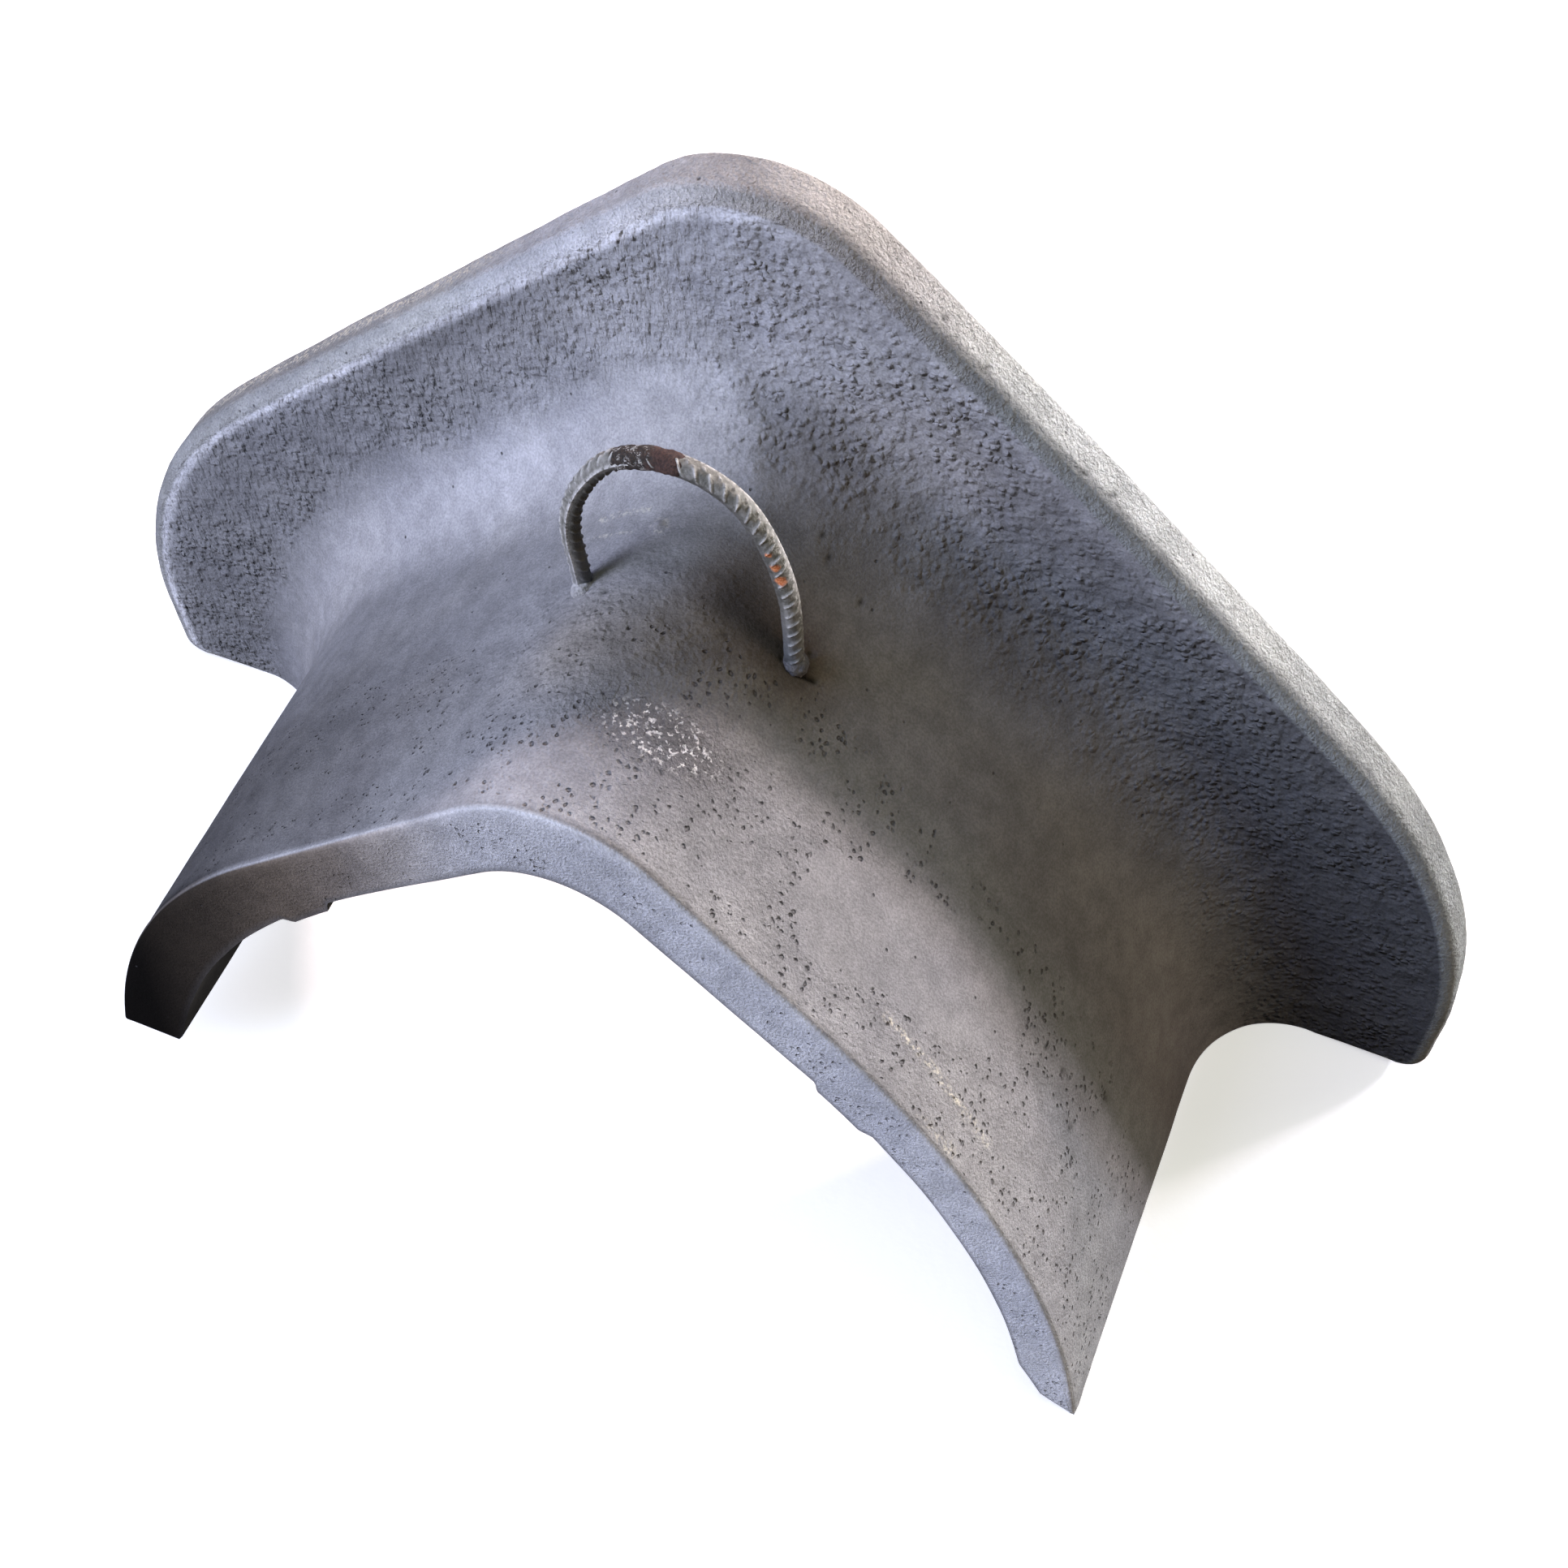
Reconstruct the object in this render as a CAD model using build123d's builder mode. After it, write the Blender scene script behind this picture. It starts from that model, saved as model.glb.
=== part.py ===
from build123d import *
import os
from math import cos, degrees, pi, radians, sin, sqrt, tan

os.makedirs("parts", exist_ok=True)

# Arm guard for a crusher frame: a cast saddle with a curved end flange and a lifting loop.
# Frame: X across, Y along the arm from the near end (-Y) to the flange (+Y), Z up.
# Origin: middle of the length, on the centre plane, at the level of the leg bottoms.

# ---- driving dimensions, mm -------------------------------------------------------------
LENGTH = 336.0            # near leg tip to the back of the flange
SEAT_RADIUS = 4060.0      # radius of the frame wall that the flange lies against
FLANGE_T = 30.0

SADDLE_TOP = 390.0        # outer crown height
SADDLE_CROWN_R = 84.0
SADDLE_SLOPE = 40.4       # flank angle below horizontal
RIGHT_SHOULDER_R = 505.0
RIGHT_HALF = 314.0        # centre plane to the outer face of the right leg, at its bottom
LEFT_SHOULDER_R = 382.0
LEFT_HALF = 325.0

ARCH_TOP = 343.0          # inner crown height
ARCH_CROWN_R = 66.5
ARCH_SLOPE = 38.4
RIGHT_ARCH_R = 417.0      # inner shoulder radii
LEFT_ARCH_R = 444.0
ARCH_KNEE = (275.5, 36.0)  # where the inner wall starts to flare
ARCH_FOOT = (292.0, 10.0)  # inner end of the sloping leg bottom

FLANGE_TOP = 555.5
FLANGE_CROWN_R = 89.0
FLANGE_SLOPE = 40.8
FLANGE_CORNER_R = 304.0
FLANGE_HALF = 448.0
FLANGE_FOOT_R = 20.0

BLEND_R = 65.0            # hollow between saddle and flange
RIM_FRONT_R = 10.0
RIM_BACK_R = 4.0
NEAR_LEAN = 7.8           # the near end face leans back by this angle
NEAR_EDGE_R = 3.0
LEFT_LEG_RISE = 30.0      # the left leg stops this much short of the right one

PAD_X = 157.0             # locating pads on the arch flanks
PAD_W = 42.0
PAD_H = 5.5
PAD_LEN = 110.0           # measured from the near leg tips

BAR_R = 5.0               # lifting loop, ribbed bar
RIB_R = 5.7
RIB_W = 2.0
RIB_PITCH = 8.0
LOOP_X = 5.5
LOOP_Y = 30.0
LOOP_TOP = 490.5          # height of the bar's centre line at the top of the loop
LOOP_TOP_R = 47.5
LOOP_TURN = 57.0          # the top arc reaches this far each way, degrees
LOOP_SIDE_R = 119.0       # flatter arcs from there down to the upright legs
SOCKET_R = 6.2
SOCKET_FLOOR = 334.0
PIT_R = 12.0              # round pit in the flank at the right foot
PIT_LIFT = 6.0            # its centre lies this far outside the flank
JOINT_ANGLE = 15.5        # the two bars meet this far left of the top
JOINT_SPAN = 24.0         # half of the joint weld's sweep angle
JOINT_GAP = 2.0           # half of the gap between the bar ends, degrees
JOINT_R = 6.6
LEFT_WELD_R = 10.0
LEFT_WELD_LIFT = -3.0
RIGHT_WELD_R = 9.5
RIGHT_WELD_LIFT = -2.0

Y_NEAR = -LENGTH / 2
Y_BACK = LENGTH / 2
Y_FRONT = Y_BACK - FLANGE_T
LOOP_Z = LOOP_TOP - LOOP_TOP_R                       # centre of the top arc
LOOP_OFFSET = LOOP_SIDE_R - LOOP_TOP_R               # from there to a side arc's centre
LOOP_HALF = LOOP_SIDE_R - LOOP_OFFSET * sin(radians(LOOP_TURN))
LOOP_LEG_Z = LOOP_Z - LOOP_OFFSET * cos(radians(LOOP_TURN))
BASE = Plane.XY
ACROSS = Plane.XZ         # sketches on it extrude towards -Y


def flank_height(top, crown_r, slope):
    """Height at X = 0 of the flank line that is tangent to the crown arc."""
    return top + crown_r * (1 / cos(radians(slope)) - 1)


def crown_tangent(top, crown_r, slope):
    """Point where the crown arc runs into the flank line."""
    a = radians(slope)
    return (crown_r * sin(a), top - crown_r * (1 - cos(a)))


def shoulder_arc(top, crown_r, slope, radius, end):
    """Start, middle and end of the arc from the flank line to the point `end`."""
    a = radians(slope)
    dx, dz = cos(a), -sin(a)
    nx, nz = -sin(a), -cos(a)
    vx = radius * nx - end[0]
    vz = flank_height(top, crown_r, slope) + radius * nz - end[1]
    b = vx * dx + vz * dz
    s = -b - sqrt(b * b - vx * vx - vz * vz + radius * radius)
    start = (s * dx, flank_height(top, crown_r, slope) + s * dz)
    centre = (start[0] + radius * nx, start[1] + radius * nz)
    mid_x = (start[0] + end[0]) / 2 - centre[0]
    mid_z = (start[1] + end[1]) / 2 - centre[1]
    k = radius / sqrt(mid_x * mid_x + mid_z * mid_z)
    return start, (centre[0] + mid_x * k, centre[1] + mid_z * k), end


def mirrored(point):
    return (-point[0], point[1])


def saddle_outline():
    """Outer shape of the saddle, closed along Z = 0."""
    shape = (SADDLE_TOP, SADDLE_CROWN_R, SADDLE_SLOPE)
    tangent = crown_tangent(*shape)
    start, mid, end = shoulder_arc(*shape, RIGHT_SHOULDER_R, (RIGHT_HALF, 0))
    left = [mirrored(p) for p in shoulder_arc(*shape, LEFT_SHOULDER_R, (LEFT_HALF, 0))]
    ThreePointArc(mirrored(tangent), (0, SADDLE_TOP), tangent)
    Line(tangent, start)
    ThreePointArc(start, mid, end)
    Line(end, left[2])
    ThreePointArc(left[2], left[1], left[0])
    Line(left[0], mirrored(tangent))


def bottom_edge(half_width):
    """Where the sloping leg bottom, run on past its outer corner, is 10 mm below Z = 0."""
    return (half_width + 10.0 * (half_width - ARCH_FOOT[0]) / ARCH_FOOT[1], -10.0)


def arch_outline():
    """The opening under the saddle, closed below the leg bottoms."""
    shape = (ARCH_TOP, ARCH_CROWN_R, ARCH_SLOPE)
    tangent = crown_tangent(*shape)
    start, mid, end = shoulder_arc(*shape, RIGHT_ARCH_R, ARCH_KNEE)
    left = [mirrored(p) for p in shoulder_arc(*shape, LEFT_ARCH_R, ARCH_KNEE)]
    ThreePointArc(mirrored(tangent), (0, ARCH_TOP), tangent)
    Line(tangent, start)
    ThreePointArc(start, mid, end)
    Line(end, ARCH_FOOT)
    Line(ARCH_FOOT, bottom_edge(RIGHT_HALF))
    Line(bottom_edge(RIGHT_HALF), mirrored(bottom_edge(LEFT_HALF)))
    Line(mirrored(bottom_edge(LEFT_HALF)), mirrored(ARCH_FOOT))
    Line(mirrored(ARCH_FOOT), left[2])
    ThreePointArc(left[2], left[1], left[0])
    Line(left[0], mirrored(tangent))


def flange_outline():
    """Rounded triangle with upright sides and small foot corners."""
    a = radians(FLANGE_SLOPE)
    tangent = crown_tangent(FLANGE_TOP, FLANGE_CROWN_R, FLANGE_SLOPE)
    centre_x = FLANGE_HALF - FLANGE_CORNER_R
    top_z = flank_height(FLANGE_TOP, FLANGE_CROWN_R, FLANGE_SLOPE)
    start_x = centre_x + FLANGE_CORNER_R * sin(a)
    start = (start_x, top_z - start_x * tan(a))
    centre_z = start[1] - FLANGE_CORNER_R * cos(a)
    half = (a + pi / 2) / 2
    mid = (centre_x + FLANGE_CORNER_R * sin(half), centre_z + FLANGE_CORNER_R * cos(half))
    side = (FLANGE_HALF, centre_z)
    foot_side = (FLANGE_HALF, FLANGE_FOOT_R)
    foot_mid = (
        FLANGE_HALF - FLANGE_FOOT_R * (1 - cos(pi / 4)), FLANGE_FOOT_R * (1 - sin(pi / 4)))
    foot_base = (FLANGE_HALF - FLANGE_FOOT_R, 0)
    ThreePointArc(mirrored(tangent), (0, FLANGE_TOP), tangent)
    Line(tangent, start)
    ThreePointArc(start, mid, side)
    Line(side, foot_side)
    ThreePointArc(foot_side, foot_mid, foot_base)
    Line(foot_base, mirrored(foot_base))
    ThreePointArc(mirrored(foot_base), mirrored(foot_mid), mirrored(foot_side))
    Line(mirrored(foot_side), mirrored(side))
    ThreePointArc(mirrored(side), mirrored(mid), mirrored(start))
    Line(mirrored(start), mirrored(tangent))


def seat_y(x, y0):
    """Y of the curved flange face through (0, y0)."""
    return y0 - SEAT_RADIUS + sqrt(SEAT_RADIUS * SEAT_RADIUS - x * x)


def region_beyond(y0, far):
    """Plan region between the curved face through y0 and the line Y = far."""
    x = FLANGE_HALF + 40
    edge = seat_y(x, y0)
    ThreePointArc((-x, edge), (0, y0), (x, edge))
    Line((x, edge), (x, far))
    Line((x, far), (-x, far))
    Line((-x, far), (-x, edge))


def is_blend_edge(edge):
    """Edges where the saddle meets the flange front."""
    c = edge @ 0.5
    on_face = abs(c.Y - seat_y(c.X, Y_FRONT)) < 0.5
    return on_face and -LEFT_HALF - 5 < c.X < RIGHT_HALF + 5 and 1 < c.Z < SADDLE_TOP + 5


def is_rim_edge(edge, y0):
    """Edges of the flange outline on the curved face through y0."""
    c = edge @ 0.5
    on_face = abs(c.Y - seat_y(c.X, y0)) < 0.5
    outside = c.Z + abs(c.X) * tan(radians(SADDLE_SLOPE)) > SADDLE_TOP + 60
    return on_face and (outside or abs(c.X) > FLANGE_HALF - FLANGE_FOOT_R) and c.Z > 1


def is_near_edge(edge):
    """Outer edges of the leaning near end face."""
    c = edge @ 0.5
    on_face = abs(c.Y - Y_NEAR - c.Z * tan(radians(NEAR_LEAN))) < 0.3
    outside = c.Z + abs(c.X) * tan(radians(SADDLE_SLOPE)) > SADDLE_TOP - 1
    return on_face and (outside or abs(c.X) > ARCH_FOOT[0] + 5) and c.Z > 1


def pad_plane(side):
    """Plane on the arch flank at the near end; X runs along the flank, -Y into the arch."""
    a = radians(ARCH_SLOPE)
    z = flank_height(ARCH_TOP, ARCH_CROWN_R, ARCH_SLOPE) - PAD_X * tan(a)
    return Plane(
        origin=(side * PAD_X, Y_NEAR, z), x_dir=(-cos(a), 0, side * sin(a)), z_dir=(0, 1, 0))


def above_flank(side, lift):
    """Point `lift` outside the flank surface, where a loop foot enters it."""
    a = radians(SADDLE_SLOPE)
    x = LOOP_X + side * LOOP_HALF
    z = flank_height(SADDLE_TOP, SADDLE_CROWN_R, SADDLE_SLOPE) - abs(x) * tan(a)
    return (x + side * lift * sin(a), LOOP_Y, z + lift * cos(a))


# ---- casting ----------------------------------------------------------------------------
with BuildPart() as guard_casting:
    with BuildSketch(ACROSS.offset(-Y_BACK)):
        with BuildLine():
            flange_outline()
        make_face()
    extrude(amount=FLANGE_T + 40)
    with BuildSketch(BASE.offset(-5)):
        with BuildLine():
            region_beyond(Y_FRONT, Y_BACK + 40)
        make_face()
    extrude(amount=FLANGE_TOP + 20, mode=Mode.INTERSECT)
    with BuildSketch(ACROSS.offset(-Y_BACK)):
        with BuildLine():
            saddle_outline()
        make_face()
    extrude(amount=LENGTH)
    with BuildSketch(BASE.offset(-5)):
        with BuildLine():
            region_beyond(Y_BACK, Y_BACK + 40)
        make_face()
    extrude(amount=FLANGE_TOP + 20, mode=Mode.SUBTRACT)
    fillet(guard_casting.edges().filter_by(is_blend_edge), BLEND_R)
    fillet(guard_casting.edges().filter_by(lambda e: is_rim_edge(e, Y_FRONT)), RIM_FRONT_R)
    fillet(guard_casting.edges().filter_by(lambda e: is_rim_edge(e, Y_BACK)), RIM_BACK_R)

    # the arch, straight through
    with BuildSketch(ACROSS.offset(-Y_BACK - 5)):
        with BuildLine():
            arch_outline()
        make_face()
    extrude(amount=LENGTH + 10, mode=Mode.SUBTRACT)

    # locating pads on both arch flanks, flush with the near end
    for side in (1, -1):
        with BuildSketch(pad_plane(side)):
            with BuildLine():
                Polyline(
                    (-PAD_W / 2, 4), (-PAD_W / 2, 0), (-PAD_W / 2 + PAD_H, -PAD_H),
                    (PAD_W / 2 - PAD_H, -PAD_H), (PAD_W / 2, 0), (PAD_W / 2, 4), close=True)
            make_face()
        extrude(amount=PAD_LEN)

    # leaning near end face
    lean_x = (SADDLE_TOP + 20) * tan(radians(NEAR_LEAN))
    with BuildSketch(Plane.YZ.offset(-LEFT_HALF - 20)):
        with BuildLine():
            Polyline(
                (Y_NEAR, 0), (Y_NEAR + lean_x, SADDLE_TOP + 20), (Y_NEAR - 20, SADDLE_TOP + 20),
                (Y_NEAR - 20, 0), close=True)
        make_face()
    extrude(amount=LEFT_HALF + RIGHT_HALF + 40, mode=Mode.SUBTRACT)
    fillet(guard_casting.edges().filter_by(is_near_edge), NEAR_EDGE_R)

    # short left leg, rounded down to the foot of the flange
    leg_end = Y_FRONT - BLEND_R - 20
    with BuildSketch(Plane.YZ.offset(-LEFT_HALF - 20)):
        with BuildLine():
            Line((Y_NEAR - 20, LEFT_LEG_RISE), (leg_end, LEFT_LEG_RISE))
            ThreePointArc(
                (leg_end, LEFT_LEG_RISE),
                (leg_end + LEFT_LEG_RISE * sin(pi / 4), LEFT_LEG_RISE * cos(pi / 4)),
                (leg_end + LEFT_LEG_RISE, 0))
            Line((leg_end + LEFT_LEG_RISE, 0), (Y_NEAR - 20, 0))
            Line((Y_NEAR - 20, 0), (Y_NEAR - 20, LEFT_LEG_RISE))
        make_face()
    extrude(amount=LEFT_HALF - 100, mode=Mode.SUBTRACT)

    # sockets for the loop's feet and the pit at the right one
    for x in (LOOP_X - LOOP_HALF, LOOP_X + LOOP_HALF):
        with BuildSketch(Plane((x, LOOP_Y, SOCKET_FLOOR))):
            Circle(SOCKET_R)
        extrude(amount=60, mode=Mode.SUBTRACT)
    with Locations(above_flank(1, PIT_LIFT)):
        Sphere(PIT_R, mode=Mode.SUBTRACT)
guard_casting.part.label = "guard_casting"
export_step(guard_casting.part, "parts/guard_casting.step")


def loop_point(angle):
    """Point on the loop's centre line; angle in degrees from the top, positive to +X."""
    a = radians(angle)
    if abs(angle) <= LOOP_TURN:
        return (LOOP_X + LOOP_TOP_R * sin(a), LOOP_Y, LOOP_Z + LOOP_TOP_R * cos(a))
    centre_x = LOOP_X - LOOP_OFFSET * sin(radians(LOOP_TURN)) * (1 if angle > 0 else -1)
    return (centre_x + LOOP_SIDE_R * sin(a), LOOP_Y, LOOP_LEG_Z + LOOP_SIDE_R * cos(a))


def loop_plane(angle):
    """Plane across the bar at `angle`."""
    a = radians(angle)
    return Plane(origin=loop_point(angle), x_dir=(0, 1, 0), z_dir=(cos(a), 0, -sin(a)))


def bar(side, end_angle, leg_bottom):
    """One half of the loop: upright leg, side arc, top arc up to end_angle, and its ribs."""
    foot_x = LOOP_X + side * LOOP_HALF
    turn = side * LOOP_TURN
    with BuildLine() as path:
        Line((foot_x, LOOP_Y, leg_bottom), (foot_x, LOOP_Y, LOOP_LEG_Z))
        ThreePointArc(
            (foot_x, LOOP_Y, LOOP_LEG_Z), loop_point((side * 90 + turn) / 2), loop_point(turn))
        ThreePointArc(
            loop_point(turn), loop_point((turn + end_angle) / 2), loop_point(end_angle))
    with BuildSketch(Plane((foot_x, LOOP_Y, leg_bottom))) as section:
        Circle(BAR_R)
    sweep(section.sketch, path=path.line)
    leg = LOOP_LEG_Z - leg_bottom
    side_arc = radians(90 - LOOP_TURN) * LOOP_SIDE_R
    weld_edge = -JOINT_ANGLE + side * JOINT_SPAN
    top_arc = radians(LOOP_TURN - side * weld_edge) * LOOP_TOP_R
    first = 34                # clear of the socket and the foot weld
    count = int((leg + side_arc + top_arc - 2 - first) / RIB_PITCH)
    for i in range(count):
        d = first + i * RIB_PITCH
        if d < leg:
            plane = Plane((foot_x, LOOP_Y, leg_bottom + d))
        elif d < leg + side_arc:
            plane = loop_plane(side * (90 - degrees((d - leg) / LOOP_SIDE_R)))
        else:
            plane = loop_plane(side * (LOOP_TURN - degrees((d - leg - side_arc) / LOOP_TOP_R)))
        with BuildSketch(plane) as rib:
            Circle(RIB_R)
        extrude(rib.sketch, amount=RIB_W / 2, both=True)


# ---- lifting loop -----------------------------------------------------------------------
with BuildPart() as loop_bar_left:
    bar(-1, -JOINT_ANGLE - JOINT_GAP, SOCKET_FLOOR)
loop_bar_left.part.label = "loop_bar_left"
export_step(loop_bar_left.part, "parts/loop_bar_left.step")

with BuildPart() as loop_bar_right:
    bar(1, -JOINT_ANGLE + JOINT_GAP, SOCKET_FLOOR)
loop_bar_right.part.label = "loop_bar_right"
export_step(loop_bar_right.part, "parts/loop_bar_right.step")

# ---- welds ------------------------------------------------------------------------------
with BuildPart() as joint_weld:
    first = -JOINT_ANGLE - JOINT_SPAN
    last = -JOINT_ANGLE + JOINT_SPAN
    with BuildLine() as weld_path:
        ThreePointArc(loop_point(first), loop_point(-JOINT_ANGLE), loop_point(last))
    with BuildSketch(loop_plane(first)) as weld_section:
        Circle(JOINT_R)
    sweep(weld_section.sketch, path=weld_path.line)
    chamfer(joint_weld.edges().filter_by(GeomType.CIRCLE), 1.2)
    add(loop_bar_left.part, mode=Mode.SUBTRACT)
    add(loop_bar_right.part, mode=Mode.SUBTRACT)
joint_weld.part.label = "joint_weld"
export_step(joint_weld.part, "parts/joint_weld.step")

with BuildPart() as left_foot_weld:
    with Locations(above_flank(-1, LEFT_WELD_LIFT)):
        Sphere(LEFT_WELD_R)
    add(guard_casting.part, mode=Mode.SUBTRACT)
    add(loop_bar_left.part, mode=Mode.SUBTRACT)
left_foot_weld.part.label = "left_foot_weld"
export_step(left_foot_weld.part, "parts/left_foot_weld.step")

with BuildPart() as right_foot_weld:
    with Locations(above_flank(1, RIGHT_WELD_LIFT)):
        Sphere(RIGHT_WELD_R)
    add(guard_casting.part, mode=Mode.SUBTRACT)
    add(loop_bar_right.part, mode=Mode.SUBTRACT)
right_foot_weld.part.label = "right_foot_weld"
export_step(right_foot_weld.part, "parts/right_foot_weld.step")
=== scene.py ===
import math

import bpy
import numpy as np
from mathutils import Matrix, Vector
from mathutils.geometry import tessellate_polygon


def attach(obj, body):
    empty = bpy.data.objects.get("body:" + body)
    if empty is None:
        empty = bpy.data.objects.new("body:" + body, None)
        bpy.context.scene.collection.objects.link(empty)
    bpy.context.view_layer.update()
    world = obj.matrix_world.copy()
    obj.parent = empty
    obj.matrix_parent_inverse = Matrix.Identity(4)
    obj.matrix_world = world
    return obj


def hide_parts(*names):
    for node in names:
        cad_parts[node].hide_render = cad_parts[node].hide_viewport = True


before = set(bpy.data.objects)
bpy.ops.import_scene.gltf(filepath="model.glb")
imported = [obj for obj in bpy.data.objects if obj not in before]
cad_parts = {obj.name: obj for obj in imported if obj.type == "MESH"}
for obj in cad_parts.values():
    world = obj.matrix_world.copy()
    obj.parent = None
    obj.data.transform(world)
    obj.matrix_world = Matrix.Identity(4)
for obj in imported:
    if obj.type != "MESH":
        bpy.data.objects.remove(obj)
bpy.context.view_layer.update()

# ---- the part's dimensions, mm, as in the CAD --------------------------------------------
LENGTH = 336.0
SEAT_RADIUS = 4060.0
FLANGE_T = 30.0
SADDLE = dict(top=390.0, crown=84.0, slope=40.4)
RIGHT_SHOULDER, RIGHT_HALF = 505.0, 314.0
LEFT_SHOULDER, LEFT_HALF = 382.0, 325.0
ARCH = dict(top=343.0, crown=66.5, slope=38.4, end=(275.5, 36.0))
RIGHT_ARCH, LEFT_ARCH = 417.0, 444.0
ARCH_FOOT = (292.0, 10.0)
FLANGE_TOP, FLANGE_CROWN_R, FLANGE_SLOPE = 555.5, 89.0, 40.8
FLANGE_CORNER_R, FLANGE_HALF, FLANGE_FOOT_R = 304.0, 448.0, 20.0
BLEND_R = 65.0
RIM_FRONT_R, RIM_BACK_R = 10.0, 4.0
NEAR_LEAN = math.tan(math.radians(7.8))
NEAR_EDGE_R = 3.0
LEFT_LEG_RISE = 30.0
PAD_X, PAD_W, PAD_H, PAD_LEN = 157.0, 42.0, 5.5, 110.0
LOOP_X, LOOP_Y, LOOP_TOP = 5.5, 30.0, 490.5
LOOP_TOP_R, LOOP_TURN, LOOP_SIDE_R = 47.5, 57.0, 119.0
BAR_R = 5.0
SOCKET_FLOOR = 334.0
JOINT_ANGLE, JOINT_SPAN = 15.5, 24.0

Y_NEAR, Y_BACK = -LENGTH / 2, LENGTH / 2
Y_FRONT = Y_BACK - FLANGE_T
LEG_END = Y_FRONT - BLEND_R - 20


# ---- noise on arrays --------------------------------------------------------------------
LATTICE_SIZE = 512                          # a power of two
SEED_SHIFT = 17.31                          # how far one seed's noise lies from the next
NOISE_GAIN = 1.6                            # brings the noise to about -1..1
RANDOM = np.random.RandomState(11)
GRADIENTS = RANDOM.normal(size=(LATTICE_SIZE, 3))
GRADIENTS /= np.linalg.norm(GRADIENTS, axis=1)[:, None]
SHUFFLE = RANDOM.permutation(LATTICE_SIZE)


def lattice(p, size, seed=0, stretch=(1, 1, 1)):
    """Gradient noise, about -1 to 1, at points p in mm; features are about `size` mm."""
    q = p / (np.array(stretch) * size) + seed * SEED_SHIFT
    i = np.floor(q).astype(int)
    f = q - i
    u = f * f * f * (f * (f * 6 - 15) + 10)
    total = 0
    for corner in np.ndindex(2, 2, 2):
        c = np.array(corner)
        h = SHUFFLE[(i[..., 0] + c[0]) & (LATTICE_SIZE - 1)]
        h = SHUFFLE[(h + i[..., 1] + c[1]) & (LATTICE_SIZE - 1)]
        h = SHUFFLE[(h + i[..., 2] + c[2]) & (LATTICE_SIZE - 1)]
        weight = np.prod(np.where(c == 1, u, 1 - u), axis=-1)
        total = total + weight * ((f - c) * GRADIENTS[h]).sum(-1)
    return total * NOISE_GAIN


def smooth(a, b, x):
    """0 at a, 1 at b, smoothly and clamped."""
    t = np.clip((np.asarray(x, float) - a) / (b - a), 0, 1)
    return t * t * (3 - 2 * t)


FALL = 1.5                                  # how fast a dome or a line fades out


def bell(x, centre, width):
    """1 at the centre, falling to 1/e at `width` from it."""
    return np.exp(-((x - centre) / width) ** 2)


def distance_to(centre, p):
    return np.linalg.norm(p - np.array(centre), axis=-1)


def dome(p, centre, radius):
    """1 at the centre, falling smoothly to 0 at about `radius`."""
    return np.exp(-(FALL * (distance_to(centre, p) / radius)) ** 2)


def near_line(p, points, width):
    """1 on the line through the points, falling to 0 at about `width`."""
    best = np.full(p.shape[:-1], 1e9)
    for a, b in zip(points, points[1:]):
        a, b = np.array(a), np.array(b)
        t = np.clip(((p - a) @ (b - a)) / ((b - a) @ (b - a)), 0, 1)
        best = np.minimum(best, np.linalg.norm(p - (a + t[..., None] * (b - a)), axis=-1))
    return np.exp(-(FALL * best / width) ** 2)


# ---- outlines: half curves from the crown down to the foot, as (x, z) ---------------------
def arc(centre, radius, a0, a1, n):
    """Points on an arc; angles in degrees from straight up, clockwise."""
    a = np.radians(np.linspace(a0, a1, n))
    return np.c_[centre[0] + radius * np.sin(a), centre[1] + radius * np.cos(a)]


CROWN_POINTS, FLANK_POINTS, SHOULDER_POINTS = 24, 60, 60
BEYOND = 12                                 # degrees that the saddle's shoulders run on past z = 0


def shouldered(top, crown, slope, shoulder, end, beyond):
    """Crown arc, straight flank and shoulder arc through `end`, run on by `beyond` degrees."""
    a = math.radians(slope)
    height = top + crown * (1 / math.cos(a) - 1)
    dx, dz, nx, nz = math.cos(a), -math.sin(a), -math.sin(a), -math.cos(a)
    vx, vz = shoulder * nx - end[0], height + shoulder * nz - end[1]
    b = vx * dx + vz * dz
    s = -b - math.sqrt(b * b - vx * vx - vz * vz + shoulder * shoulder)
    cx, cz = s * dx + shoulder * nx, height + s * dz + shoulder * nz
    last = math.degrees(math.atan2(end[0] - cx, end[1] - cz))
    crown_arc = arc((0, top - crown), crown, 0, slope, CROWN_POINTS)
    shoulder_arc = arc((cx, cz), shoulder, slope, last + beyond, SHOULDER_POINTS)
    flank = np.linspace(crown_arc[-1], shoulder_arc[0], FLANK_POINTS)
    return np.vstack([crown_arc, flank[1:-1], shoulder_arc])


def flange_half():
    """Crown arc, flank, corner arc, side and foot arc of the flange."""
    a = math.radians(FLANGE_SLOPE)
    height = FLANGE_TOP + FLANGE_CROWN_R * (1 / math.cos(a) - 1)
    cx = FLANGE_HALF - FLANGE_CORNER_R
    sx = cx + FLANGE_CORNER_R * math.sin(a)
    cz = height - sx * math.tan(a) - FLANGE_CORNER_R * math.cos(a)
    crown_centre = (0, FLANGE_TOP - FLANGE_CROWN_R)
    crown_arc = arc(crown_centre, FLANGE_CROWN_R, 0, FLANGE_SLOPE, CROWN_POINTS)
    corner = arc((cx, cz), FLANGE_CORNER_R, FLANGE_SLOPE, 90, SHOULDER_POINTS)
    foot = arc((FLANGE_HALF - FLANGE_FOOT_R, FLANGE_FOOT_R), FLANGE_FOOT_R, 90, 180, 10)
    flank = np.linspace(crown_arc[-1], corner[0], FLANK_POINTS)
    side = np.linspace(corner[-1], foot[0], 12)
    return np.vstack([crown_arc, flank[1:-1], corner, side[1:-1], foot])


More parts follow.
